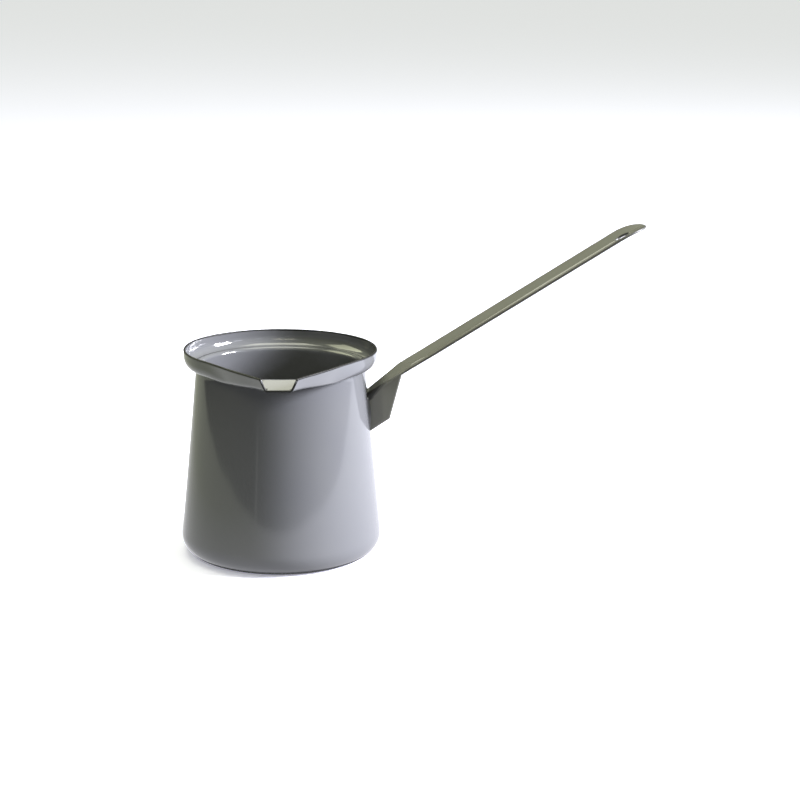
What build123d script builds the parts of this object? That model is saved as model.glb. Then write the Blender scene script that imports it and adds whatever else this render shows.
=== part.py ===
from build123d import *
import math
import os

# Enamelled steel melting pot with a pouring beak and a long strap handle.
# Millimetres. The origin is the centre of the base, on the surface it stands on.
# +Z is up and the handle reaches out along +X. The beak points along -Y.

# Driving dimensions
rim_radius = 45.0          # outside of the collar
rim_height = 98.0          # top of the rim, edging included
wall = 1.0                 # steel with its enamel on both faces
neck_radius = 39.4         # outside of the neck, under the collar
neck_height = 89.5         # where the collar's underside meets the neck
collar_band = 2.8          # straight vertical part of the collar
waist_radius = 42.9        # outside of the wall half way down
waist_height = 51.0
base_radius = 48.0         # where the wall would meet the floor without its round
base_corner = 9.5          # round between wall and floor

beak_reach = 67.0          # end of the beak, from the pot's axis
beak_top_half = 8.0        # half width of the open end at the rim
beak_floor_half = 5.0      # half width of the open end at its floor
beak_drop = 5.6            # depth of the open end under the rim
beak_root = 26.0           # distance from the axis where the sides leave the collar
beak_root_half = 36.7      # half width there
beak_corner = 2.2          # outside round along the beak's lower edges

edging_height = 0.9        # depth of the black edge coat down the rim
edging_proud = 0.12        # how far the coat stands out from both faces

strap_gauge = 1.4          # strap thickness, measured vertically
strap_rise = 0.6257        # climb of the strap for each millimetre outwards
strap_level = 116.1        # height of the strap's edges 100 mm from the pot's axis
strap_half_root = 11.25    # half width where the cheeks end
strap_half_tip = 11.7      # half width where the rounded end starts
gutter_depth = 2.1         # sag of the grip's middle below its edges
gutter_start = 76.0        # from here outwards the gutter has its full depth
fold_end = 55.5            # the cheeks' folds end here
round_start = 155.5        # the rounded end starts here
strap_end = 169.3          # tip of the handle
tip_droop = 1.2            # how far the tip is bent down
hole_centre = 158.2        # hanging hole, from the pot's axis
hole_radius = 3.0

root_half = 5.3            # half width of the folded root at the wall
root_level = 77.0          # height of the root's top at the wall
root_reach = 40.0          # the root's flat top starts here, then the wall trims it
cheek_gauge = 1.2
cheek_toe = (50.2, 66.4)   # outer lower corner of a cheek: distance from the axis, height
cheek_heel = (38.0, 56.2)  # inner lower corner, buried in the wall before trimming
fold_overlap = 0.1         # the cheeks reach this far up into the folds
bead_radius = 1.0          # weld bead along each contact
bead_low = 60.5            # the side beads start at this height
bead_high = 75.0           # and end at this one
bead_inset = 1.2           # the top bead stops this far inside the root's edges

# Working allowances, which leave no mark on the finished part
overrun = 2.0              # inner forms run this far past an open end
headroom = 5.0             # and this far above the rim
side_spare = 0.6           # the strap is built this much wide before it is trimmed to outline
least_sag = 0.1            # an arc needs a little sag, even where the strap is flat


def wall_profile(inset, top):
    """Half section of the body and collar, as a closed face on the XZ plane."""
    neck_r = neck_radius - inset
    rim_r = rim_radius - inset
    base_r = base_radius - inset
    band_low = rim_height - collar_band
    shoulder = neck_height + inset
    low = inset
    turn = math.sin(math.radians(45))
    swell = rim_r - neck_r
    drop = band_low - shoulder
    shoulder_mid = (neck_r + swell * turn, band_low - drop * turn)
    with BuildPart() as body:
        with BuildSketch(Plane.XZ) as half:
            with BuildLine():
                Line((0, low), (base_r, low))
                ThreePointArc((base_r, low), (waist_radius - inset, waist_height), (neck_r, shoulder))
                ThreePointArc((neck_r, shoulder), shoulder_mid, (rim_r, band_low))
                Line((rim_r, band_low), (rim_r, top))
                Line((rim_r, top), (0, top))
                Line((0, top), (0, low))
            make_face()
            foot = half.vertices().sort_by(lambda v: v.X - v.Z)[-1]
            fillet(foot, base_corner - inset)
        revolve(axis=Axis.Z)
    return body.part


def beak_section(distance, top_half, floor_half, floor, top):
    """Face across the beak at a distance from the pot's axis, towards -Y."""
    plane = Plane(origin=(0, -distance, 0), x_dir=(1, 0, 0), z_dir=(0, -1, 0))
    corners = [(-floor_half, floor), (floor_half, floor), (top_half, top), (-top_half, top)]
    return plane * Polygon(*corners, align=None)


def beak_form(inset, top, extra):
    """The beak as a closed form: two sections joined by flat faces."""
    slope = (beak_top_half - beak_floor_half) / beak_drop
    floor_tip = rim_height - beak_drop + inset
    floor_root = neck_height + inset
    spread = (beak_root_half - beak_top_half) / (beak_reach - beak_root)
    side = inset * math.hypot(math.hypot(1, spread), slope)
    reach = beak_reach + extra
    tip_top = beak_top_half - spread * extra + slope * (top - rim_height)
    tip_floor = beak_floor_half - spread * extra + slope * inset
    root_top = beak_root_half + slope * (top - rim_height)
    root_floor = beak_root_half - slope * (rim_height - floor_root)
    tip = beak_section(reach, tip_top - side, tip_floor - side, floor_tip, top)
    root = beak_section(beak_root, root_top - side, root_floor - side, floor_root, top)
    form = loft([root, tip], ruled=True)
    if inset <= 0:
        low = rim_height - beak_drop / 2
        long = (beak_reach - beak_root) / 2
        lower_edges = form.edges().filter_by(lambda e: e.center().Z < low and e.length > long)
        form = fillet(lower_edges, beak_corner)
    return form


def pot_shell():
    """The whole drawn shell up to the rim, before the edge coat's strip is taken off."""
    outer = wall_profile(0, rim_height) + beak_form(0, rim_height, 0)
    top = rim_height + headroom
    inner = wall_profile(wall, top) + beak_form(wall, top, overrun)
    return outer - inner


def edge_zone():
    """The space that the edge coat fills: along the rim, and round the beak's open end."""
    span = 4 * rim_radius
    above = Pos(0, 0, rim_height - edging_height + span / 2) * Box(span, span, span)
    beyond = Pos(0, -(beak_reach - edging_height) - span / 2, rim_height) * Box(span, span, span)
    return above + beyond


def make_pot_body():
    return pot_shell() - edge_zone()


def make_rim_edging():
    outer = wall_profile(-edging_proud, rim_height) + beak_form(-edging_proud, rim_height, 0)
    top = rim_height + headroom
    inner = wall_profile(wall + edging_proud, top) + beak_form(wall + edging_proud, top, overrun)
    return (outer - inner) & edge_zone()


def strap_height(distance):
    """Height of the strap's edges at a distance from the pot's axis."""
    droop = 0
    if distance > round_start:
        droop = tip_droop * ((distance - round_start) / (strap_end - round_start)) ** 2
    return strap_level + strap_rise * (distance - 100) - droop


def strap_section(distance, half, sag):
    """Gutter section of the strap on an upright plane across the handle."""
    edge = strap_height(distance)
    plane = Plane(origin=(distance, 0, 0), x_dir=(0, 1, 0), z_dir=(1, 0, 0))
    low = edge - strap_gauge
    with BuildSketch(plane) as section:
        with BuildLine():
            ThreePointArc((-half, edge), (0, edge - sag), (half, edge))
            Line((half, edge), (half, low))
            ThreePointArc((half, low), (0, low - sag), (-half, low))
            Line((-half, low), (-half, edge))
        make_face()
    return section.sketch


def strap_outline():
    """Plan of the handle's grip: long sides and a rounded end."""
    turn = math.sin(math.radians(45))
    mid = round_start + (strap_end - round_start) * turn
    half = strap_half_tip * turn
    with BuildSketch() as plan:
        with BuildLine():
            Line((fold_end, -strap_half_root), (round_start, -strap_half_tip))
            ThreePointArc((round_start, -strap_half_tip), (mid, -half), (strap_end, 0))
            ThreePointArc((strap_end, 0), (mid, half), (round_start, strap_half_tip))
            Line((round_start, strap_half_tip), (fold_end, strap_half_root))
            Line((fold_end, strap_half_root), (fold_end, -strap_half_root))
        make_face()
    return plan.sketch


def make_grip():
    """The gutter-shaped grip with its rounded, slightly drooping end and hanging hole."""
    half = strap_half_tip + side_spare
    stations = [fold_end, gutter_start, round_start]
    steps = 4
    for i in range(1, steps + 1):
        stations.append(round_start + (strap_end - round_start) * i / steps)
    sections = []
    for distance in stations:
        sag = least_sag if distance == fold_end else gutter_depth
        sections.append(strap_section(distance, half, sag))
    band = loft(sections, ruled=True)
    trimmed = band & extrude(strap_outline(), amount=2 * strap_end)
    middle = strap_height(hole_centre) - gutter_depth - strap_gauge / 2
    lean = math.degrees(math.atan(strap_rise))
    hole = Pos(hole_centre, 0, middle) * Rot(0, -lean, 0) * Cylinder(hole_radius, 6 * hole_radius)
    return trimmed - hole


def make_root_top():
    """The flat top of the root, narrowing from the grip to the wall."""
    edge = strap_height(fold_end)
    lines = [(root_reach, root_half, root_level), (fold_end, strap_half_root, edge)]
    faces = []
    for distance, half, level in lines:
        plane = Plane(origin=(distance, 0, 0), x_dir=(0, 1, 0), z_dir=(1, 0, 0))
        corners = [(-half, level - strap_gauge), (half, level - strap_gauge), (half, level), (-half, level)]
        faces.append(plane * Polygon(*corners, align=None))
    return loft(faces, ruled=True)


def make_cheek(side):
    """One folded-down cheek, upright along its fold line."""
    run = fold_end - root_reach
    spread = strap_half_root - root_half
    along = math.hypot(run, spread)
    stretch = along / run
    edge = strap_height(fold_end)
    direction = (run / along, side * spread / along, 0)
    normal = (side * spread / along, -run / along, 0)
    plane = Plane(origin=(root_reach, side * root_half, 0), x_dir=direction, z_dir=normal)
    toe_x = (cheek_toe[0] - root_reach) * stretch
    heel_x = (cheek_heel[0] - root_reach) * stretch
    corners = [
        (heel_x, root_level - strap_gauge),
        (0, root_level - fold_overlap),
        (along, edge - fold_overlap),
        (along, edge - strap_gauge),
        (toe_x, cheek_toe[1]),
        (heel_x, cheek_heel[1]),
    ]
    outline = plane * Polygon(*corners, align=None)
    inwards = cheek_gauge * side
    return extrude(outline, amount=inwards)


def make_handle():
    """Grip, root and both cheeks: one stamping, trimmed where it meets the wall."""
    handle = make_grip() + make_root_top() + make_cheek(1) + make_cheek(-1)
    return handle - wall_profile(0, rim_height)


def bead(start, end):
    """Round weld bead between two points."""
    path = Vector(*end) - Vector(*start)
    plane = Plane(origin=start, z_dir=path)
    rod = plane * Cylinder(bead_radius, path.length, align=(Align.CENTER, Align.CENTER, Align.MIN))
    return rod


def wall_radius(height):
    """Outside radius of the wall at a height, along the chord of its gentle curve."""
    share = (height - waist_height) / (neck_height - waist_height)
    return waist_radius + (neck_radius - waist_radius) * share


def contact(half, height):
    """Point on the wall, half a width to one side of the handle's middle plane."""
    radius = wall_radius(height)
    return math.sqrt(radius ** 2 - half ** 2), half, height


def make_handle_welds(handle):
    """A bead down the outside of each cheek and one across the top of the root."""
    body = wall_profile(0, rim_height)
    beads = []
    for side in (1, -1):
        beads.append(bead(contact(side * root_half, bead_low), contact(side * root_half, bead_high)))
    across = root_half - bead_inset
    beads.append(bead(contact(-across, root_level), contact(across, root_level)))
    solids = []
    for item in beads:
        rest = item - body - handle
        solids.append(max(rest.solids(), key=lambda s: s.volume))
    return Compound(children=solids)


def main():
    os.makedirs("parts", exist_ok=True)
    handle = make_handle()
    pieces = {
        "pot_body": make_pot_body(),
        "rim_edging": make_rim_edging(),
        "handle": handle,
        "handle_welds": make_handle_welds(handle),
    }
    for node, shape in pieces.items():
        export_step(shape, f"parts/{node}.step")
        print(node, len(shape.solids()), round(shape.volume, 1))


main()
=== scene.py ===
import math
import bmesh
import bpy
import numpy as np
from mathutils import Euler, Matrix, Vector


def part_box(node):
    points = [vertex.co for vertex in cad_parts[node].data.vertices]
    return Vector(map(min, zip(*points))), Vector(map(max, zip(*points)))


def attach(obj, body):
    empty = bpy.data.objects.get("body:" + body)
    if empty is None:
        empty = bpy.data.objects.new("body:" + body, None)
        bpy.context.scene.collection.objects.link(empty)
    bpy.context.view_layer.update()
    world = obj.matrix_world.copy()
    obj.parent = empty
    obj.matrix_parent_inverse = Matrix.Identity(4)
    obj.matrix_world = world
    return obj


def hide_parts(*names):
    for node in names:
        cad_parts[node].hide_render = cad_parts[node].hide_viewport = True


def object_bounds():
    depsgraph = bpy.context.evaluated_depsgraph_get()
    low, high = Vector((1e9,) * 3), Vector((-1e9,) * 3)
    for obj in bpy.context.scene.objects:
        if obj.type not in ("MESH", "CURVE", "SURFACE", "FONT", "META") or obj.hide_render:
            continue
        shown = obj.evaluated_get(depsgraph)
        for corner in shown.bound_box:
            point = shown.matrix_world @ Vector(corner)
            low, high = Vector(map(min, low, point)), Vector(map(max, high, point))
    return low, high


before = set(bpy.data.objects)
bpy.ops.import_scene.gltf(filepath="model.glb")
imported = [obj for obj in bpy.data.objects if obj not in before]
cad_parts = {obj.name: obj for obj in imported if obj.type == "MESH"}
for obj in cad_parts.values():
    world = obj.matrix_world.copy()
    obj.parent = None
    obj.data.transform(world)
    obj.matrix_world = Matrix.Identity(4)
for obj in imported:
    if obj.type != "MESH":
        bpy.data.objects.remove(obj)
cadLow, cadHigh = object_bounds()
mm = 0.001  # every size below is in millimetres, as a maker would write it
print("frame:", ", ".join(sorted(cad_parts)))


# small helpers

def smoothStep(low, high, value):
    t = min(max((value - low) / (high - low), 0.0), 1.0)
    return t * t * (3 - 2 * t)


def mix(a, b, t):
    return a + (b - a) * t


def unit(v):
    return v / np.maximum(np.linalg.norm(v, axis=-1, keepdims=True), 1e-12)


def ramp(count):
    return [i / (count - 1) for i in range(count)]


# Corner round between two straight runs: leaves the first by reachA, joins the second by reachB
def roundCorner(corner, towardsA, towardsB, reachA, reachB, count):
    points = []
    for t in ramp(count):
        angle = t * math.pi / 2
        points.append(corner + towardsA * reachA * (1 - math.sin(angle))
                      + towardsB * reachB * (1 - math.cos(angle)))
    return points


def gridFaces(rows, columns, closed=False):
    faces = []
    last = columns if closed else columns - 1
    for r in range(rows - 1):
        for c in range(last):
            d = (c + 1) % columns
            faces.append((r * columns + c, r * columns + d, (r + 1) * columns + d, (r + 1) * columns + c))
    return faces


def vertexNormals(verts, faces):
    normals = np.zeros_like(verts)
    for f in faces:
        p = verts[list(f)]
        n = np.cross(p[1] - p[0], p[2] - p[0])
        if len(f) == 4:
            n = n + np.cross(p[2] - p[0], p[3] - p[0])
        for i in f:
            normals[i] += n
    return unit(normals)


# Free edges of a sheet, each pointing so that the sheet is on its left
def freeEdges(faces):
    seen = set()
    for f in faces:
        for a, b in zip(f, f[1:] + f[:1]):
            seen.add((a, b))
    return [(a, b) for a, b in seen if (b, a) not in seen]


# In-surface direction out over the free edge, at each free vertex
def outwardAtEdge(verts, normals, edges):
    out = {}
    for a, b in edges:
        for i in (a, b):
            n = normals[i]
            side = np.cross(verts[b] - verts[a], n)
            out[i] = out.get(i, np.zeros(3)) + side / max(np.linalg.norm(side), 1e-12)
    for i in out:
        n = normals[i]
        flat = out[i] - n * np.dot(out[i], n)
        out[i] = flat / max(np.linalg.norm(flat), 1e-12)
    return out


# Turns a face-side sheet into sheet metal of one gauge, with its cut edges rolled round by the enamel.
# bulge says how far an edge stands out at a point, 1 for fully rolled and near 0 for punched square.
# Returns the vertices, the faces and, for each vertex, how much it lies on a cut edge.
def thicken(verts, faces, gauge, steps, bulge=lambda point: 1.0):
    normals = vertexNormals(verts, faces)
    edges = sorted(freeEdges(faces))
    out = outwardAtEdge(verts, normals, edges)
    count = len(verts)
    everything = [verts, verts - normals * gauge]
    made = list(faces) + [tuple(i + count for i in reversed(f)) for f in faces]
    edgeCoatAndRootShade = [0.0] * (2 * count)
    ring = {}
    extra = []
    for i in sorted(out):
        ring[i] = [i]
        middle = verts[i] - normals[i] * gauge / 2
        stand = out[i] * bulge(verts[i])
        for k in range(1, steps):
            angle = math.pi * k / steps
            ring[i].append(2 * count + len(extra))
            extra.append(middle + (normals[i] * math.cos(angle) + stand * math.sin(angle)) * gauge / 2)
            edgeCoatAndRootShade.append(1.0)
        ring[i].append(i + count)
    for a, b in edges:
        for k in range(steps):
            made.append((ring[b][k], ring[a][k], ring[a][k + 1], ring[b][k + 1]))
    everything.append(np.array(extra))
    return np.concatenate(everything), made, edgeCoatAndRootShade


def makeObject(name, verts, faces, edgeCoatAndRootShade=None):
    mesh = bpy.data.meshes.new(name)
    mesh.from_pydata([tuple(v * mm) for v in verts], [], [tuple(f) for f in faces])
    mesh.validate()
    mesh.update()
    # the per-vertex layer carries the ground coat on cut edges and, on the handle, painted shade at the root
    if edgeCoatAndRootShade is not None:
        edgeCoatAndShadeLayer = mesh.attributes.new("edgeCoatAndRootShade", "FLOAT", "POINT")
        edgeCoatAndShadeLayer.data.foreach_set("value", edgeCoatAndRootShade)
    mesh.polygons.foreach_set("use_smooth", [True] * len(mesh.polygons))
    piece = bpy.data.objects.new(name, mesh)
    bpy.context.scene.collection.objects.link(piece)
    return piece


# Skin over a run of equal sections. A closed run joins its last section to its first.
def skin(sections, closedRun):
    rows = len(sections)
    columns = len(sections[0])
    verts = np.array([p for section in sections for p in section])
    faces = []
    last = rows if closedRun else rows - 1
    for r in range(last):
        s = (r + 1) % rows
        for c in range(columns):
            d = (c + 1) % columns
            faces.append((r * columns + c, r * columns + d, s * columns + d, s * columns + c))
    if not closedRun:
        faces.append(tuple(range(columns - 1, -1, -1)))
        faces.append(tuple((rows - 1) * columns + c for c in range(columns)))
    return verts, faces


# the pot: one drawn shell, measured on its outside face

pot = {
    "gauge": 0.85,           # steel with enamel on both faces
    "rimRadius": 45.0,
    "rimTop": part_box("rim_edging")[1].z / mm,
    "bandDepth": 2.8,        # straight part of the collar
    "neckRadius": 39.4,
    "neckHeight": 89.5,
    "neckRound": 0.9,        # tight inside bend where the collar steps out
    "waistRadius": 42.9,
    "waistHeight": 51.0,
    "footRadius": 47.97,     # where wall and floor would meet without the round
    "footRound": 9.5,
    "beakReach": -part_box("rim_edging")[0].y / mm - 0.2,
    "beakTopHalf": 8.3,
    "beakFloorHalf": 5.6,
    "beakDrop": 5.95,
    "beakEase": 1.3,         # the beak's floor levels out towards its end
    "beakLift": 1.5,         # the ledge is drawn up this much where the beak's floor leaves it
    "beakBow": 0.7,          # the beak's long sides bow out this much
    "beakBend": 2.3,         # pressed round between the beak's floor and sides
    "lipRound": 1.1,         # round of the open end's lower corners
    "collarBend": 4.2,       # reach of the round between the collar's ledge and its band
    "beakBack": 3.4,         # at the beak's top corner, a column meets the fold this far back from the lip
    "beakAzimuth": 14.0,     # degrees, where the neck feeds the beak's sides
    "lipAzimuth": 4.0,       # degrees, where it feeds the lip's lower corners
    "tipCorner": 0.7,        # round of the open end's top corners
    "bendOut": 2.34,         # at the top corner, the bend is on the side from here, back from the lip
    "bendOnFloor": 1.47,     # the bend's reach over the beak's floor, away from the lip
    "lipFrom": 2.6,          # at the lip, the last stretch starts this far back
    "lipBend": 1.0,          # and turns straight for the edge this far back
    "edgeSteps": 6,
    "columnsRound": 96,
    "columnsSide": 44,
    "cornerSteps": 6,
    "slantSteps": 8,
    "lipCornerSteps": 8,
    "lipSteps": 5,
    "floorSteps": 12,
    "footSteps": 14,
    "wallSteps": 46,
    "neckSteps": 6,
    "ledgeSteps": 9,
    "bendSteps": 12,
    "bandSteps": 8,
}


# Wall radius on the arc through foot, waist and neck
def wallRadius(height):
    z1, r1 = 0.0, pot["footRadius"]
    z2, r2 = pot["waistHeight"], pot["waistRadius"]
    z3, r3 = pot["neckHeight"], pot["neckRadius"]
    a = (height - z2) * (height - z3) / ((z1 - z2) * (z1 - z3))
    b = (height - z1) * (height - z3) / ((z2 - z1) * (z2 - z3))
    c = (height - z1) * (height - z2) / ((z3 - z1) * (z3 - z2))
    return a * r1 + b * r2 + c * r3


# Height of the neck, drawn up a little where the beak leaves it
def neckTop(azimuth):
    return pot["neckHeight"] + pot["beakLift"] * (1 - smoothStep(math.radians(6), math.radians(34), azimuth))


# Rise of the beak's floor from the collar's ledge out to the lip
def beakFloor(distance, azimuth):
    tip = pot["rimTop"] - pot["beakDrop"]
    start = pot["neckRadius"]
    share = min(max((distance - start) / (pot["beakReach"] - start), 0.0), 1.0)
    return mix(neckTop(azimuth), tip, 1 - (1 - share) ** pot["beakEase"])


# Half of the pot's columns, from the back round to the middle of the beak. Each column has its azimuth from
# the beak's direction and its rim point. It also has either the corner between ledge and band with the reach
# of that corner's round, or, at the beak's open end, a tail of places on the pressed surface.
# Points are (across, along the beak, height).
def halfColumns():
    top = pot["rimTop"]
    reach = pot["beakReach"]
    tipTop = np.array([pot["beakTopHalf"], reach, top])
    tipFloor = np.array([pot["beakFloorHalf"], reach, top - pot["beakDrop"]])
    # straight side, tangent to the collar
    far = math.hypot(tipTop[0], tipTop[1])
    tangent = math.acos(pot["rimRadius"] / far) + math.atan2(tipTop[0], tipTop[1])
    root = np.array([pot["rimRadius"] * math.sin(tangent), pot["rimRadius"] * math.cos(tangent), top])
    outward = np.array([math.sin(tangent), math.cos(tangent), 0])
    slope = (pot["beakTopHalf"] - pot["beakFloorHalf"]) / pot["beakDrop"]
    columns = []

    def add(azimuth, rim, corner, inReach, upReach):
        columns.append({"azimuth": azimuth, "rim": rim, "corner": corner, "in": inReach, "up": upReach})

    band = pot["rimTop"] - pot["bandDepth"] - pot["neckHeight"]
    for i in range(pot["columnsRound"]):
        azimuth = mix(math.pi, tangent, i / pot["columnsRound"])
        rim = np.array([pot["rimRadius"] * math.sin(azimuth), pot["rimRadius"] * math.cos(azimuth), top])
        corner = np.array([rim[0], rim[1], pot["neckHeight"]])
        add(azimuth, rim, corner, pot["collarBend"], band)
    back = pot["beakBack"]
    bend = pot["beakBend"]
    along = unit(tipTop - root)
    spread = -along[0] / along[1]
    narrow = math.radians(pot["beakAzimuth"])
    lipAzimuth = math.radians(pot["lipAzimuth"])
    for i in range(pot["columnsSide"]):
        t = i / pot["columnsSide"]
        rim = mix(root, tipTop, t) + outward * pot["beakBow"] * math.sin(math.pi * t) ** 2
        blend = smoothStep(0, 0.4, t)
        azimuth = mix(tangent, narrow, t)
        shift = back * smoothStep(0.6, 1, t)
        depth = top - beakFloor(rim[1] - shift, azimuth)
        corner = np.array([rim[0] + spread * shift - slope * depth * blend, rim[1] - shift, top - depth])
        add(azimuth, rim, corner, mix(pot["collarBend"], bend, blend), mix(band, bend, blend))
    # round the top corner, down the slanted end, round the lower corner, then along the lip
    down = unit(tipFloor - tipTop)
    inwards = np.array([-1.0, 0, 0])
    lip = pot["lipRound"]
    tipRound = pot["tipCorner"]
    slant = pot["slantSteps"]
    path = roundCorner(tipTop, -along, down, tipRound, tipRound, pot["cornerSteps"])
    path += [mix(tipTop + down * tipRound, tipFloor - down * lip, i / slant) for i in range(1, slant)]
    ends = [1.0] * len(path)
    path += roundCorner(tipFloor, -down, inwards, lip, lip, pot["lipCornerSteps"])
    ends += [1 + t for t in ramp(pot["lipCornerSteps"])]
    slanted = len(path)
    middle = np.array([0.0, reach, tipFloor[2]])
    shares = [i / pot["lipSteps"] for i in range(1, pot["lipSteps"] + 1)]
    path += [mix(path[slanted - 1], middle, t) for t in shares]
    ends += [2 + t for t in shares]

    # A place on the beak's pressed end, by its distance back from the lip and its turn round the section:
    # 1 on the side, 2 where the bend runs out on the floor, 3 in the middle
    def place(setBack, turn, azimuth):
        floor = beakFloor(reach - setBack, azimuth)
        edge = pot["beakTopHalf"] + spread * setBack - slope * (top - floor)
        onFloor = mix(lip, pot["bendOnFloor"], smoothStep(0, back + bend, setBack))
        onSide = mix(lip, bend, smoothStep(0, back, setBack))
        if turn > 2:
            return np.array([(edge - onFloor) * (3 - turn), reach - setBack, floor])
        angle = (2 - turn) * math.pi / 2
        return (np.array([edge, reach - setBack, floor]) + inwards * onFloor * (1 - math.sin(angle))
                - down * onSide * (1 - math.cos(angle)))

    for i, (rim, end) in enumerate(zip(path, ends)):
        s = min(i / (slanted - 1), 1)
        azimuth = mix(narrow, lipAzimuth, s) * (1 if end < 2 else 3 - end)
        first = mix(back + bend, pot["lipFrom"], s)
        last = mix(pot["bendOut"], pot["lipBend"], s)
        tail = [place(mix(first, last, t), mix(max(end, 2), end, t), azimuth) for t in ramp(pot["bendSteps"])]
        columns.append({"azimuth": azimuth, "rim": rim, "tail": tail})
    return columns


# One column from the floor's middle out, up the wall and over to the rim, or to a little short of it
def columnPoints(column, short):
    sine = math.sin(column["azimuth"])
    cosine = math.cos(column["azimuth"])

    def at(radius, height):
        return np.array([radius * sine, radius * cosine, height])

    points = []
    footRound = pot["footRound"]
    lean = math.atan((wallRadius(4) - wallRadius(14)) / 10)
    centre = wallRadius(footRound) - footRound / math.cos(lean)
    for t in ramp(pot["floorSteps"])[1:]:
        points.append(at(centre * t, 0))
    turns = pot["footSteps"]
    for i in range(1, turns + 1):
        angle = (math.pi / 2 + lean) * i / turns
        points.append(at(centre + footRound * math.sin(angle), footRound - footRound * math.cos(angle)))
    wallStart = points[-1][2]
    neckHeight = neckTop(column["azimuth"])
    wallEnd = neckHeight - pot["neckRound"]
    wallRows = pot["wallSteps"]
    for i in range(1, wallRows):
        height = mix(wallStart, wallEnd, i / wallRows)
        points.append(at(wallRadius(height), height))
    neck = at(wallRadius(neckHeight), neckHeight)
    down = unit(at(wallRadius(neckHeight - 2), neckHeight - 2) - neck)
    tail = column.get("tail")
    ledge = unit((tail[0] if tail else column["corner"]) - neck)
    points += roundCorner(neck, down, ledge, pot["neckRound"], pot["neckRound"], pot["neckSteps"])
    if not tail:
        up = unit(column["rim"] - column["corner"])
        tail = roundCorner(column["corner"], -ledge, up, column["in"], column["up"], pot["bendSteps"])
    ledgeStart = neck + ledge * pot["neckRound"]
    run = pot["ledgeSteps"]
    for i in range(1, run):
        points.append(mix(ledgeStart, tail[0], i / run))
    points += tail
    bandStart = tail[-1]
    up = unit(column["rim"] - bandStart)
    bandRows = pot["bandSteps"]
    for i in range(1, bandRows + 1):
        points.append(mix(bandStart, column["rim"] - up * short, i / bandRows))
    return points


# The whole outside sheet: right half, then its mirror image
def potSheet(short):
    half = [columnPoints(c, short) for c in halfColumns()]
    middle = half[-1]
    mirrored = [[p * np.array([-1, 1, 1]) for p in column] for column in reversed(half[1:-1])]
    columns = half[:-1] + [middle] + mirrored
    rows = len(columns[0])
    verts = [np.zeros(3)]
    for r in range(rows):
        for column in columns:
            p = column[r]
            verts.append(np.array([p[0], -p[1], p[2]]))
    count = len(columns)
    faces = [(0, 1 + (c + 1) % count, 1 + c) for c in range(count)]
    for a, b, c, d in gridFaces(rows, count, closed=True):
        faces.append((a + 1, b + 1, c + 1, d + 1))
    verts = np.array(verts)
    if vertexNormals(verts, faces)[0][2] > 0:
        faces = [tuple(reversed(f)) for f in faces]
    return verts, faces, count


def makePot():
    sheet, faces = potSheet(edging["cover"])[:2]     # the edge coat caps the bare edge
    verts, made = thicken(sheet, faces, pot["gauge"], pot["edgeSteps"])[:2]
    return makeObject("potShell", verts, made)


# the edge coat: a bead of black enamel over the cut edge

edging = {
    "proud": 0.07,       # stands out from both faces
    "depth": 0.72,       # how far it comes down the faces
    "cover": 0.62,       # the shell's own edge ends this far below its top
    "waver": 0.12,       # its lower line wanders by this much, as a wiped coat does
    "waves": ((5, 1.0, 0.5), (13, 2.2, 0.3), (29, 0.0, 0.2)),   # waves round the rim, phase and share
    "innerWave": (9, 0.7),
    "sink": 0.04,        # how far its thin lower line sinks into the shell
    "taper": (0.06, 0.16),   # height over which that line swells to its full stand
    "arcSteps": 8,
}


def makeEdging():
    sheet, faces, count = potSheet(0.0)
    normals = vertexNormals(sheet, faces)
    out = outwardAtEdge(sheet, normals, freeEdges(faces))
    rim = range(len(sheet) - count, len(sheet))
    half = pot["gauge"] / 2 + edging["proud"]
    face = -pot["gauge"]
    sink = edging["sink"]
    low, full = edging["taper"]
    innerWaves, innerPhase = edging["innerWave"]
    sections = []
    for step, i in enumerate(rim):
        turn = 2 * math.pi * step / count
        outer = edging["depth"] + edging["waver"] * sum(math.sin(waves * turn + phase) * share
                                                        for waves, phase, share in edging["waves"])
        inner = edging["depth"] + edging["waver"] * math.sin(innerWaves * turn + innerPhase)
        points = [(outer, -sink), (outer - low, edging["proud"] * 0.7), (outer - full, edging["proud"])]
        for k in range(edging["arcSteps"] + 1):
            angle = math.pi * k / edging["arcSteps"]
            points.append((half - half * math.sin(angle), -pot["gauge"] / 2 + half * math.cos(angle)))
        points += [(inner - full, face - edging["proud"]), (inner - low, face - edging["proud"] * 0.7),
                   (inner, face + sink)]
        sections.append([sheet[i] - out[i] * a + normals[i] * n for a, n in points])
    verts, made = skin(sections, closedRun=True)
    if np.dot(vertexNormals(verts, made)[6], out[rim[0]]) < 0:
        made = [tuple(reversed(f)) for f in made]
    return makeObject("rimBead", verts, made)


# the handle: one stamping, measured on its top face; points are (outwards, across, height)

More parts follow.
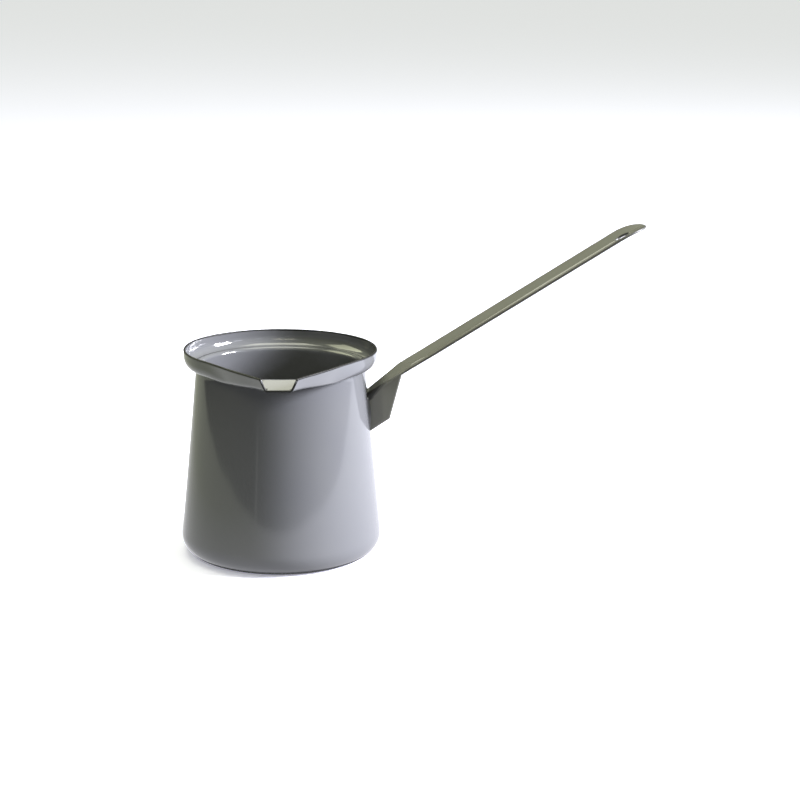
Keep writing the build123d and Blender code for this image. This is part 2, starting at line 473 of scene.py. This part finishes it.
handle = {
    "gauge": 1.2,
    "rise": 0.6257,          # climb for each millimetre outwards
    "level": 116.1,          # height of the edges 100 mm out
    "halfRoot": 11.25,
    "halfTip": 11.7,
    "gutter": 2.1,           # sag of the grip's middle
    "gutterFrom": 53.0,
    "gutterTo": 72.0,
    "foldEnd": 55.5,
    "roundStart": 155.5,
    "tip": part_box("handle")[1].x / mm - 0.3,
    "droop": 1.2,
    "hole": 158.2,
    "holeRadius": 3.0,
    "punch": 0.3,            # the hole's edge is nearly square
    "rootHalf": 5.3,
    "rootAt": 40.0,
    "rootLevel": 77.0,
    "foldRound": 1.7,        # outside round of the folds
    "toe": (50.2, 66.4),     # lower outer corner of a cheek
    "heel": 59.6,            # height of its lower corner at the wall
    "startIn": 0.05,         # the root starts this far out from rootAt, inside the wall's thickness
    "cheekIn": 0.4,          # the cheeks' ends sit this deep in the wall
    "tipLength": 9.0,        # the rays round the hole start this far before it
    "paintedRootShadeFull": 41.5,      # painted shade by the wall on the root's top: full out to here, fading out by the end given next, and sooner down the cheek
    "paintedRootShadeEnd": 53.0,
    "paintedRootShadeNarrows": 2.6,
    "paintedRootShade": 0.8,
    "foldSteps": 6,
    "cheekSteps": 18,
    "edgeSteps": 8,
    "acrossSteps": 24,
    "rootSteps": 22,
    "gripSteps": 60,
}


def strapEdge(s):
    height = handle["level"] + handle["rise"] * (s - 100)
    if s > handle["roundStart"]:
        share = (s - handle["roundStart"]) / (handle["tip"] - handle["roundStart"])
        height -= handle["droop"] * share * share
    # the root is bent a little steeper than the grip
    fall = handle["level"] + handle["rise"] * (handle["rootAt"] - 100) - handle["rootLevel"]
    x = handle["foldEnd"] - s
    height -= fall / (handle["foldEnd"] - handle["rootAt"]) * (math.sqrt(x * x + 4) + x) / 2
    return height


def strapHalf(s):
    if s < handle["foldEnd"]:
        share = (s - handle["rootAt"]) / (handle["foldEnd"] - handle["rootAt"])
        return mix(handle["rootHalf"], handle["halfRoot"], share)
    share = (s - handle["foldEnd"]) / (handle["roundStart"] - handle["foldEnd"])
    return mix(handle["halfRoot"], handle["halfTip"], min(share, 1.0))


def topPoint(s, off):
    sag = handle["gutter"] * smoothStep(handle["gutterFrom"], handle["gutterTo"], s)
    half = strapHalf(max(s, handle["foldEnd"]))
    return np.array([s, off, strapEdge(s) - sag * (1 - (off / half) ** 2)])


# Round of the fold, which fades into the rolled edge where the cheek ends
def foldRound(s):
    fade = smoothStep(handle["foldEnd"] - 6, handle["foldEnd"], s)
    return mix(handle["foldRound"], handle["gauge"] / 2, fade)


def rootStations():
    start = handle["rootAt"] + handle["startIn"]
    return [mix(start, handle["foldEnd"], t) for t in ramp(handle["rootSteps"])]


def cheekPatch(side):
    rows = []
    stations = rootStations()
    arc = handle["foldSteps"]
    for k in range(arc + 1):
        angle = math.pi / 2 * k / arc
        row = []
        for s in stations:
            r = foldRound(s)
            off = strapHalf(s) - r + r * math.sin(angle)
            row.append(np.array([s, side * off, strapEdge(s) - r + r * math.cos(angle)]))
        rows.append(row)
    under = [strapEdge(s) - foldRound(s) for s in stations]
    toe = handle["toe"]
    depthSteps = handle["cheekSteps"]
    for j in range(1, depthSteps + 1):
        v = j / depthSteps
        zLeft = mix(under[0], handle["heel"], v)
        half = strapHalf(handle["rootAt"] + 1)
        inWall = math.sqrt(wallRadius(zLeft) ** 2 - half ** 2) - handle["cheekIn"]
        sLeft = mix(stations[0], inWall, smoothStep(0, 0.3, v))
        sRight = mix(handle["foldEnd"], toe[0], v)
        zRight = mix(under[-1], toe[1], v)
        row = []
        for i, u in enumerate(ramp(len(stations))):
            s = mix(sLeft, sRight, u)
            straight = mix(under[0], under[-1], u)
            z = mix(zLeft, zRight, u) + (under[i] - straight) * (1 - v)
            row.append(np.array([s, side * strapHalf(s), z]))
        rows.append(row)
    return rows


# Rays from the hanging hole out to the handle's rounded end
def tipPatch(cut):
    inset = handle["gauge"] / 2
    outline = []
    across = handle["acrossSteps"]
    edge = strapHalf(cut) - inset
    for k in range(across + 1):
        outline.append((cut, mix(-edge, edge, k / across)))
    sideSteps = 6
    for k in range(1, sideSteps + 1):
        s = mix(cut, handle["roundStart"], k / sideSteps)
        outline.append((s, strapHalf(s) - inset))
    length = handle["tip"] - handle["roundStart"] - inset
    halfEnd = handle["halfTip"] - inset
    bend = 18
    for k in range(1, 2 * bend):
        angle = math.pi / 2 * k / bend
        outline.append((handle["roundStart"] + length * math.sin(angle), halfEnd * math.cos(angle)))
    for k in range(sideSteps, 0, -1):
        s = mix(cut, handle["roundStart"], k / sideSteps)
        outline.append((s, -(strapHalf(s) - inset)))
    rings = []
    radius = handle["holeRadius"] + inset * handle["punch"]
    steps = 10
    for j in range(steps + 1):
        t = (j / steps) ** 1.3
        ring = []
        for s, off in outline:
            reach = math.hypot(s - handle["hole"], off)
            ux = (s - handle["hole"]) / reach
            uy = off / reach
            distance = mix(radius, reach, t)
            ring.append(topPoint(handle["hole"] + ux * distance, uy * distance))
        rings.append(ring)
    return rings


def makeHandle():
    build = bmesh.new()

    def addPatch(rows, closed=False):
        columns = len(rows[0])
        verts = [build.verts.new(tuple(p)) for row in rows for p in row]
        for f in gridFaces(len(rows), columns, closed):
            build.faces.new([verts[i] for i in f])

    cut = handle["hole"] - handle["tipLength"]
    stations = rootStations()
    gripSteps = handle["gripSteps"]
    stations += [mix(handle["foldEnd"], cut, i / gripSteps) for i in range(1, gripSteps + 1)]
    rows = []
    for s in stations:
        edge = strapHalf(s) - (foldRound(s) if s < handle["foldEnd"] else handle["gauge"] / 2)
        rows.append([topPoint(s, mix(-edge, edge, t)) for t in ramp(handle["acrossSteps"] + 1)])
    addPatch(rows)
    addPatch(cheekPatch(1))
    addPatch(cheekPatch(-1))
    addPatch(tipPatch(cut), closed=True)
    bmesh.ops.remove_doubles(build, verts=build.verts[:], dist=0.01)
    bmesh.ops.recalc_face_normals(build, faces=build.faces[:])
    build.verts.index_update()
    verts = np.array([tuple(v.co) for v in build.verts])
    faces = [tuple(v.index for v in f.verts) for f in build.faces]
    build.free()
    top = vertexNormals(verts, faces)
    middle = int(np.argmin(np.abs(verts[:, 0] - 100) + np.abs(verts[:, 1])))
    if top[middle][2] < 0:
        faces = [tuple(reversed(f)) for f in faces]
    holeEdge = handle["holeRadius"] + 1

    def bulge(point):
        return handle["punch"] if math.hypot(point[0] - handle["hole"], point[1]) < holeEdge else 1.0

    solid, made, edgeCoatAndRootShade = thicken(verts, faces, handle["gauge"], handle["edgeSteps"], bulge)
    foldEnd = handle["foldEnd"]
    edgeCoatAndRootShade = [w * smoothStep(foldEnd - 2, foldEnd + 6, p[0]) for w, p in zip(edgeCoatAndRootShade, solid)]
    # painted shade where the root's top meets the wall, laid into the same per-vertex layer as the ground
    # coat on the edges
    for i, p in enumerate(solid):
        below = max(strapEdge(p[0]) - p[2], 0.0)
        end = handle["paintedRootShadeEnd"] - handle["paintedRootShadeNarrows"] * below
        if end > handle["paintedRootShadeFull"] + 0.5:
            edgeCoatAndRootShade[i] = max(edgeCoatAndRootShade[i], handle["paintedRootShade"] * (1 - smoothStep(handle["paintedRootShadeFull"], end, p[0])))
    return makeObject("strapHandle", solid, made, edgeCoatAndRootShade)


# the welds: enamel-covered beads where the handle's root meets the wall

weld = {
    "width": 1.3,
    "hollow": 0.18,      # how far the bead's face stands off the corner, as a share of its width
    "bite": 0.25,        # how deep it sinks into both faces
    "low": 60.3,         # the beads along the cheeks run between these heights
    "high": 75.6,
    "steps": 20,
}


# A concave bead along a run of places, each with its point and the directions of the two faces it fills
# between
def fillet(places):
    sections = []
    count = len(places)
    for i, (point, along1, along2) in enumerate(places):
        t = i / (count - 1)
        width = weld["width"] * (0.25 + 0.75 * math.sin(math.pi * min(max(t, 0.02), 0.98)) ** 0.4)
        a = point + along1 * width
        b = point + along2 * width
        knee = point + (along1 + along2) * width * weld["hollow"]
        section = []
        for t2 in ramp(7):
            section.append(a * (1 - t2) ** 2 + knee * 2 * t2 * (1 - t2) + b * t2 ** 2)
        section.append(b - along1 * weld["bite"])
        section.append(point - (along1 + along2) * weld["bite"])
        section.append(a - along2 * weld["bite"])
        sections.append(section)
    return sections


def makeWelds():
    verts = np.zeros((0, 3))
    faces = []
    runs = []
    spread = (handle["halfRoot"] - handle["rootHalf"]) / (handle["foldEnd"] - handle["rootAt"])
    for side in (1, -1):
        for inner in (0, 1):
            places = []
            for t in ramp(weld["steps"]):
                height = mix(weld["low"], weld["high"], t)
                half = handle["rootHalf"] + spread - inner * handle["gauge"]
                radius = wallRadius(height)
                s = math.sqrt(radius ** 2 - half ** 2)
                point = np.array([s, side * half, height])
                alongCheek = unit(np.array([1.0, side * spread, 0]))
                alongWall = unit(np.array([-side * half, s, 0])) * side
                places.append((point, alongCheek, -alongWall if inner else alongWall))
            runs.append(fillet(places))
    places = []
    for t in ramp(weld["steps"]):
        off = mix(-handle["rootHalf"] + 0.8, handle["rootHalf"] - 0.8, t)
        height = strapEdge(handle["rootAt"] + 0.2)
        s = math.sqrt(wallRadius(height) ** 2 - off ** 2)
        point = np.array([s, off, strapEdge(s)])
        alongTop = unit(np.array([1.0, 0, handle["rise"]]))
        upWall = unit(np.array([-0.09, 0, 1.0]))
        places.append((point, alongTop, upWall))
    runs.append(fillet(places))
    for sections in runs:
        v, f = skin(sections, closedRun=False)
        faces += [tuple(i + len(verts) for i in face) for face in f]
        verts = np.concatenate([verts, v])
    piece = makeObject("rootWelds", verts, faces)
    build = bmesh.new()
    build.from_mesh(piece.data)
    bmesh.ops.recalc_face_normals(build, faces=build.faces[:])
    build.to_mesh(piece.data)
    build.free()
    return piece


potShell = makePot()
rimBead = makeEdging()
print("pot and rim bead:", len(potShell.data.polygons), len(rimBead.data.polygons), "faces")
strapHandle = makeHandle()
rootWelds = makeWelds()
print("handle and welds:", len(strapHandle.data.polygons), len(rootWelds.data.polygons), "faces")


# finishes

def linear(hexText):
    values = []
    for i in (0, 2, 4):
        c = int(hexText[i:i + 2], 16) / 255
        values.append(c / 12.92 if c <= 0.04045 else ((c + 0.055) / 1.055) ** 2.4)
    return (values[0], values[1], values[2], 1.0)


# Adds one node: settings by name, then links into its sockets by name
def addNode(tree, kind, settings=None, links=None):
    node = tree.nodes.new(kind)
    for name, value in (settings or {}).items():
        if name in node.inputs:
            node.inputs[name].default_value = value
        else:
            setattr(node, name, value)
    for name, source in (links or {}).items():
        tree.links.new(source, node.inputs[name])
    return node


def setRamp(node, stops):
    elements = node.color_ramp.elements
    while len(elements) < len(stops):
        elements.new(0.5)
    for element, (place, colour) in zip(elements, stops):
        element.position = place
        element.color = colour


def newMaterial(name):
    material = bpy.data.materials.new(name)
    material.use_nodes = True
    tree = material.node_tree
    tree.nodes.clear()
    return material, tree


# Vitreous enamel: powdered glass fired on to steel. It pools smooth and glassy, with a faint orange peel,
# a few pinholes and specks, and it draws thin on sharp edges so that the dark ground coat shows through.
enamel = {
    "colour": "58595b",
    "cloud": "535458",
    "speck": "2a2a29",
    # the dark ground coat; on the handle's root the same colour is painted shade by the wall
    "groundCoatAndShadeColour": "161715",
    "roughness": 0.065,
    "roughVariation": 0.03,
    "groundRoughness": 0.45,
    "ior": 1.52,             # soda glass
    "cloudSize": 26.0,       # thick and thin places in the dipped coat
    "peelSize": 5.0,         # orange peel, crest to crest
    "peelHeight": 0.0018,
    "swellSize": 22.0,       # long swell of the pressed steel under the glass
    "swellHeight": 0.009,
    "speckSpacing": 3.2,
    "speckSize": 0.25,       # real specks are 0.1 mm, drawn coarser so that they show at all
    "speckFrom": 0.8,        # only this top share of places has one
    "speckDepth": 0.5,       # how far a speck turns towards its own colour
    # this range maps both the coat thinning towards an edge and the painted shade at the handle's root
    "darkeningFrom": 0.05,        # where the coat starts to thin towards an edge, and where it is thinnest
    "darkeningTo": 0.55,
}

# The handle's coat is thinner than the pot's, so its edges show the ground coat. Its grey is the pot's grey
# painted lighter, which paints light on to the handle.
thinCoatPaintedLighter = {
    "colour": "6b6b66",
    "cloud": "656560",
    "groundAndShadeShows": 0.9,
}


def enamelMaterial(name, colour, cloud, groundAndShadeShows):
    material, tree = newMaterial(name)
    place = addNode(tree, "ShaderNodeTexCoord").outputs["Object"]
    clouds = addNode(tree, "ShaderNodeTexNoise", {"Scale": 1 / (enamel["cloudSize"] * mm), "Detail": 3.0},
                     {"Vector": place})
    tone = addNode(tree, "ShaderNodeMix", {"data_type": "RGBA"}, {"Factor": clouds.outputs["Fac"]})
    tone.inputs[6].default_value = linear(colour)
    tone.inputs[7].default_value = linear(cloud)
    cells = addNode(tree, "ShaderNodeTexVoronoi", {"Scale": 1 / (enamel["speckSpacing"] * mm)},
                    {"Vector": place})
    reach = enamel["speckSize"] / enamel["speckSpacing"]
    speck = addNode(tree, "ShaderNodeMapRange", {"From Min": reach * 0.35, "From Max": reach * 0.6,
                                                 "To Min": 1.0, "To Max": 0.0},
                    {"Value": cells.outputs["Distance"]})
    rare = addNode(tree, "ShaderNodeSeparateColor", {}, {"Color": cells.outputs["Color"]})
    few = addNode(tree, "ShaderNodeMath", {"operation": "GREATER_THAN"}, {0: rare.outputs["Red"]})
    few.inputs[1].default_value = enamel["speckFrom"]
    speckHere = addNode(tree, "ShaderNodeMath", {"operation": "MULTIPLY"},
                        {0: speck.outputs["Result"], 1: few.outputs["Value"]})
    speckSoft = addNode(tree, "ShaderNodeMath", {"operation": "MULTIPLY"}, {0: speckHere.outputs["Value"]})
    speckSoft.inputs[1].default_value = enamel["speckDepth"]
    specked = addNode(tree, "ShaderNodeMix", {"data_type": "RGBA"}, {"Factor": speckSoft.outputs["Value"]})
    tree.links.new(tone.outputs[2], specked.inputs[6])
    specked.inputs[7].default_value = linear(enamel["speck"])
    base = specked
    # the dark mix: ground coat on cut edges, and painted shade on the handle's root by the wall
    if groundAndShadeShows > 0:
        edgeCoatAndShadeLayer = addNode(tree, "ShaderNodeAttribute", {"attribute_name": "edgeCoatAndRootShade"})
        coatAndShadeShare = addNode(tree, "ShaderNodeMapRange",
                       {"From Min": enamel["darkeningFrom"], "From Max": enamel["darkeningTo"],
                        "To Min": 0.0, "To Max": groundAndShadeShows},
                       {"Value": edgeCoatAndShadeLayer.outputs["Fac"]})
        base = addNode(tree, "ShaderNodeMix", {"data_type": "RGBA"}, {"Factor": coatAndShadeShare.outputs["Result"]})
        tree.links.new(specked.outputs[2], base.inputs[6])
        base.inputs[7].default_value = linear(enamel["groundCoatAndShadeColour"])
    low = enamel["roughness"]
    rough = addNode(tree, "ShaderNodeMapRange", {"To Min": low, "To Max": low + enamel["roughVariation"]},
                    {"Value": clouds.outputs["Fac"]})
    if groundAndShadeShows > 0:
        rough = addNode(tree, "ShaderNodeMapRange", {"To Max": enamel["groundRoughness"]},
                        {"Value": coatAndShadeShare.outputs["Result"], "To Min": rough.outputs["Result"]})
    swell = addNode(tree, "ShaderNodeTexNoise", {"Scale": 1 / (enamel["swellSize"] * mm), "Detail": 1.0},
                    {"Vector": place})
    swellBump = addNode(tree, "ShaderNodeBump", {"Strength": 1.0, "Distance": enamel["swellHeight"] * mm},
                        {"Height": swell.outputs["Fac"]})
    peel = addNode(tree, "ShaderNodeTexNoise", {"Scale": 1 / (enamel["peelSize"] * mm), "Detail": 2.0},
                   {"Vector": place})
    peelBump = addNode(tree, "ShaderNodeBump", {"Strength": 1.0, "Distance": enamel["peelHeight"] * mm},
                       {"Height": peel.outputs["Fac"], "Normal": swellBump.outputs["Normal"]})
    shader = addNode(tree, "ShaderNodeBsdfPrincipled", {"IOR": enamel["ior"]},
                     {"Base Color": base.outputs[2], "Roughness": rough.outputs["Result"],
                      "Normal": peelBump.outputs["Normal"]})
    addNode(tree, "ShaderNodeOutputMaterial", {}, {"Surface": shader.outputs["BSDF"]})
    return material


# Black edge enamel: a thin black glass wiped on over the bare cut edge and fired. It gives the pot its dark,
# slightly dull outline.
blackEdge = {
    "colour": "0b0b0b",
    "roughness": 0.42,
    "ior": 1.52,
    "gloss": 0.22,           # the thin coat over a rough cut edge mirrors weakly
    "rippleSize": 1.6,
    "rippleHeight": 0.02,
    "roughVariation": 0.12,
}


def blackEnamelMaterial():
    material, tree = newMaterial("blackEdgeEnamel")
    place = addNode(tree, "ShaderNodeTexCoord").outputs["Object"]
    ripple = addNode(tree, "ShaderNodeTexNoise",
                     {"Scale": 1 / (blackEdge["rippleSize"] * mm), "Detail": 2.0}, {"Vector": place})
    bump = addNode(tree, "ShaderNodeBump", {"Strength": 1.0, "Distance": blackEdge["rippleHeight"] * mm},
                   {"Height": ripple.outputs["Fac"]})
    low = blackEdge["roughness"]
    rough = addNode(tree, "ShaderNodeMapRange", {"To Min": low, "To Max": low + blackEdge["roughVariation"]},
                    {"Value": ripple.outputs["Fac"]})
    shader = addNode(tree, "ShaderNodeBsdfPrincipled",
                     {"Base Color": linear(blackEdge["colour"]), "IOR": blackEdge["ior"],
                      "Specular IOR Level": blackEdge["gloss"]},
                     {"Roughness": rough.outputs["Result"], "Normal": bump.outputs["Normal"]})
    addNode(tree, "ShaderNodeOutputMaterial", {}, {"Surface": shader.outputs["BSDF"]})
    return material


bodyEnamel = enamelMaterial("greyEnamel", enamel["colour"], enamel["cloud"], 0.0)
handleEnamel = enamelMaterial("greyEnamelThinPaintedLighter", thinCoatPaintedLighter["colour"], thinCoatPaintedLighter["cloud"],
                              thinCoatPaintedLighter["groundAndShadeShows"])
blackEnamel = blackEnamelMaterial()
potShell.data.materials.append(bodyEnamel)
rimBead.data.materials.append(blackEnamel)
strapHandle.data.materials.append(handleEnamel)
rootWelds.data.materials.append(bodyEnamel)
print("finishes: grey enamel, thin grey enamel, black edge enamel")


# the pieces stand for their CAD nodes

for piece, node, slot in ((potShell, "pot_body", "grey_enamel"),
                          (rimBead, "rim_edging", "black_edge_enamel"),
                          (strapHandle, "handle", "grey_enamel"),
                          (rootWelds, "handle_welds", "grey_enamel")):
    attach(piece, "root")
    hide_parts(node)


# Studio: a pale floor, a broad window on the right and a soft warm dome overhead. Only the camera sees the
# floor. The gloss mirrors cards just under it instead: a lit sheet round the pot, a dark table beyond it, a
# dark place under the base and one pale table leg.
studio = {
    "floorSize": 60.0,                 # metres
    "floorColour": "ececfb",
    "floorRoughness": 0.8,
    "floorGlow": 0.35,                 # holds the floor near white
    "floorGrain": 900.0,               # grains to the metre
    "floorGrainHeight": 0.05,          # millimetres
    "floorUnder": 0.1,                 # millimetres below the pot's base
    # azimuth round from the beak towards the handle, elevation, distance, width, height, radiance and colour
    "lights": {
        "window": (82, 22, 1.7, 0.62, 0.5, 175.0, "efeff7"),
        "pane1": (76, 19, 1.5, 0.15, 0.08, 15.0, "e6ecff"),
        "pane2": (57, 19, 1.5, 0.24, 0.07, 15.0, "e6ecff"),
        "pane3": (29, 20, 1.5, 0.16, 0.05, 13.0, "e6ecff"),
        "strip": (-4, 30, 1.4, 0.6, 0.06, 16.0, "fbf6dc"),
        "overhead": (0, 92, 1.2, 0.9, 0.7, 6.3, "f8f8e2"),
        "overheadGloss": (0, 92, 1.2, 0.9, 0.7, 4.0, "f8f8e2"),
        "backCard": (179, 10.5, 1.4, 0.18, 0.3, 0.95, "f4f3e4"),
        "leftCard": (-112, 40, 1.3, 1.0, 0.75, 5.6, "eef0cc"),
    },
    "glossOnly": ("overheadGloss", "leftCard"),     # these add nothing to the matt tone
    "domeColour": "f4f8dc",
    # height in the dome, from horizon to zenith, and radiance there
    "domeLevels": ((0.0, 0.24), (0.2, 0.32), (0.45, 0.6), (0.8, 0.66), (1.0, 0.55)),
    "roomLevel": 0.75,
    "roomColour": "c4c6bc",
    "aim": (0.0, 0.0, 0.05),
    # outline of the lit sheet in metres, clockwise from its front left corner
    "sheet": ((-0.20, -0.28), (-0.37, -0.21), (-0.50, 0.0), (-0.55, 0.3), (-0.7, 1.2),
              (0.9, 1.2), (0.66, 0.15), (0.54, -0.03), (0.33, -0.19), (0.18, -0.28)),
    "sheetLeft": (1.15, "c8ccb6"),     # radiance and colour at its left, middle and right
    "sheetMiddle": (1.8, "d6d6dc"),
    "sheetRight": (2.2, "dcdee8"),
    "shade": 0.043,                    # radius of the dark place right under the base
    "leg": ((-0.155, -0.285), (-0.143, -0.29), (-0.49, -0.93), (-0.515, -0.92)),   # a pale table leg
    "legLevel": 0.8,
    "legColour": "d8d8d4",
    "tableHalf": 1.15,
    "tableFront": -1.75,
    "tableBack": 1.6,
    "tableLevel": 0.05,
    "tableColour": "b8b8b0",
    "sheetFade": 0.25,                 # the sheet's colours run from this far left to this far right
    # metres below the base; each card hides the ones under it
    "under": {"shade": 0.0005, "paleLeg": 0.0008, "litSheet": 0.001, "darkTable": 0.004},
}


def makeCard(name, outline, height, material):
    mesh = bpy.data.meshes.new(name)
    mesh.from_pydata([(x, y, height) for x, y in outline], [], [tuple(range(len(outline)))])
    mesh.materials.append(material)
    card = bpy.data.objects.new(name, mesh)
    bpy.context.scene.collection.objects.link(card)
    return card


def makeFloor():
    half = studio["floorSize"] / 2
    material, tree = newMaterial("paleFloor")
    place = addNode(tree, "ShaderNodeTexCoord").outputs["Object"]
    grain = addNode(tree, "ShaderNodeTexNoise", {"Scale": studio["floorGrain"], "Detail": 2.0},
                    {"Vector": place})
    bump = addNode(tree, "ShaderNodeBump", {"Strength": 0.1, "Distance": studio["floorGrainHeight"] * mm},
                   {"Height": grain.outputs["Fac"]})
    colour = linear(studio["floorColour"])
    shader = addNode(tree, "ShaderNodeBsdfPrincipled",
                     {"Base Color": colour, "Roughness": studio["floorRoughness"],
                      "Emission Color": colour, "Emission Strength": studio["floorGlow"]},
                     {"Normal": bump.outputs["Normal"]})
    addNode(tree, "ShaderNodeOutputMaterial", {}, {"Surface": shader.outputs["BSDF"]})
    corners = ((-half, -half), (half, -half), (half, half), (-half, half))
    floor = makeCard("floor", corners, cadLow.z - studio["floorUnder"] * mm, material)
    floor.visible_glossy = False
    floor.visible_diffuse = False
    floor.visible_shadow = False


# A glowing card under the floor, hidden from the camera. It has one colour, or runs from left to right
# through the stops in fade.
def makeGlowCard(name, outline, level, colour=None, fade=None):
    material, tree = newMaterial(name)
    glow = addNode(tree, "ShaderNodeEmission", {"Strength": level})
    if fade:
        reach = studio["sheetFade"]
        place = addNode(tree, "ShaderNodeTexCoord").outputs["Object"]
        across = addNode(tree, "ShaderNodeSeparateXYZ", {}, {"Vector": place}).outputs["X"]
        share = addNode(tree, "ShaderNodeMapRange", {"From Min": -reach, "From Max": reach},
                        {"Value": across})
        colours = addNode(tree, "ShaderNodeValToRGB", {}, {"Fac": share.outputs["Result"]})
        setRamp(colours, fade)
        tree.links.new(colours.outputs["Color"], glow.inputs["Color"])
    else:
        glow.inputs["Color"].default_value = linear(colour)
    addNode(tree, "ShaderNodeOutputMaterial", {}, {"Surface": glow.outputs["Emission"]})
    material.cycles.emission_sampling = "NONE"
    card = makeCard(name, outline, -studio["under"][name], material)
    card.visible_camera = False
    card.visible_shadow = False


def makeMirroredTable():
    stops = []
    for stop, name in ((0.0, "sheetLeft"), (0.5, "sheetMiddle"), (1.0, "sheetRight")):
        level, colour = studio[name]
        stops.append((stop, tuple(c * level for c in linear(colour)[:3]) + (1.0,)))
    makeGlowCard("litSheet", studio["sheet"], 1.0, fade=stops)
    half, front, back = studio["tableHalf"], studio["tableFront"], studio["tableBack"]
    corners = ((-half, front), (half, front), (half, back), (-half, back))
    makeGlowCard("darkTable", corners, studio["tableLevel"], studio["tableColour"])
    makeGlowCard("paleLeg", studio["leg"], studio["legLevel"], studio["legColour"])
    turns = [2 * math.pi * i / 48 for i in range(48)]
    disc = [(studio["shade"] * math.cos(t), studio["shade"] * math.sin(t)) for t in turns]
    makeGlowCard("shade", disc, studio["tableLevel"], studio["tableColour"])


def makeLight(name):
    azimuth, elevation, distance, width, height, radiance, colour = studio["lights"][name]
    light = bpy.data.lights.new(name, "AREA")
    light.shape = "RECTANGLE"
    light.size = width
    light.size_y = height
    light.energy = math.pi * width * height * radiance
    light.color = linear(colour)[:3]
    lamp = bpy.data.objects.new(name, light)
    bpy.context.scene.collection.objects.link(lamp)
    lamp.visible_camera = False
    lamp.visible_diffuse = name not in studio["glossOnly"]
    turn = Euler((math.radians(90 - elevation), 0, math.radians(azimuth))).to_matrix()
    lamp.location = Vector(studio["aim"]) + turn @ Vector((0, 0, distance))
    lamp.rotation_euler = turn.to_euler()


def makeDome():
    world = bpy.data.worlds.new("dome")
    bpy.context.scene.world = world
    world.use_nodes = True
    tree = world.node_tree
    tree.nodes.clear()
    direction = addNode(tree, "ShaderNodeTexCoord").outputs["Generated"]
    height = addNode(tree, "ShaderNodeSeparateXYZ", {}, {"Vector": direction}).outputs["Z"]
    levels = addNode(tree, "ShaderNodeValToRGB", {}, {"Fac": height})
    top = max(level for stop, level in studio["domeLevels"])
    setRamp(levels, [(stop, tuple(c * level / top for c in linear(studio["domeColour"])[:3]) + (1.0,))
                     for stop, level in studio["domeLevels"]])
    above = addNode(tree, "ShaderNodeBackground", {"Strength": top}, {"Color": levels.outputs["Color"]})
    below = addNode(tree, "ShaderNodeBackground",
                    {"Color": linear(studio["roomColour"]), "Strength": studio["roomLevel"]})
    overHorizon = addNode(tree, "ShaderNodeMath", {"operation": "GREATER_THAN"}, {0: height})
    overHorizon.inputs[1].default_value = 0.0
    both = addNode(tree, "ShaderNodeMixShader", {}, {0: overHorizon.outputs["Value"]})
    tree.links.new(below.outputs["Background"], both.inputs[1])
    tree.links.new(above.outputs["Background"], both.inputs[2])
    addNode(tree, "ShaderNodeOutputWorld", {}, {"Surface": both.outputs["Shader"]})


makeFloor()
makeMirroredTable()
for name in studio["lights"]:
    makeLight(name)
makeDome()


# camera: a long lens from a little above, with the beak towards it

view = {
    "azimuth": -2.7,          # degrees round the pot, away from straight on to the beak
    "elevation": 13.35,
    "roll": 0.455,
    "distance": 0.9414,
    "lens": 90.42,            # millimetres
    "sensor": 36.0,
    "clipEnd": 50.0,          # metres
    "aim": (0.475, 0.565, 0.470),   # share of the CAD box
}


def makeCamera():
    camera = bpy.data.cameras.new("camera")
    camera.lens = view["lens"]
    camera.sensor_width = view["sensor"]
    camera.clip_end = view["clipEnd"]
    seat = bpy.data.objects.new("camera", camera)
    bpy.context.scene.collection.objects.link(seat)
    aim = Vector([mix(cadLow[i], cadHigh[i], view["aim"][i]) for i in range(3)])
    turn = Euler((math.radians(90 - view["elevation"]), 0, math.radians(view["azimuth"]))).to_matrix()
    seat.rotation_euler = (turn @ Matrix.Rotation(math.radians(view["roll"]), 3, "Z")).to_euler()
    seat.location = aim + turn @ Vector((0, 0, view["distance"]))
    bpy.context.scene.camera = seat


makeCamera()
bpy.context.scene.view_settings.view_transform = "Standard"
print("studio and camera ready")
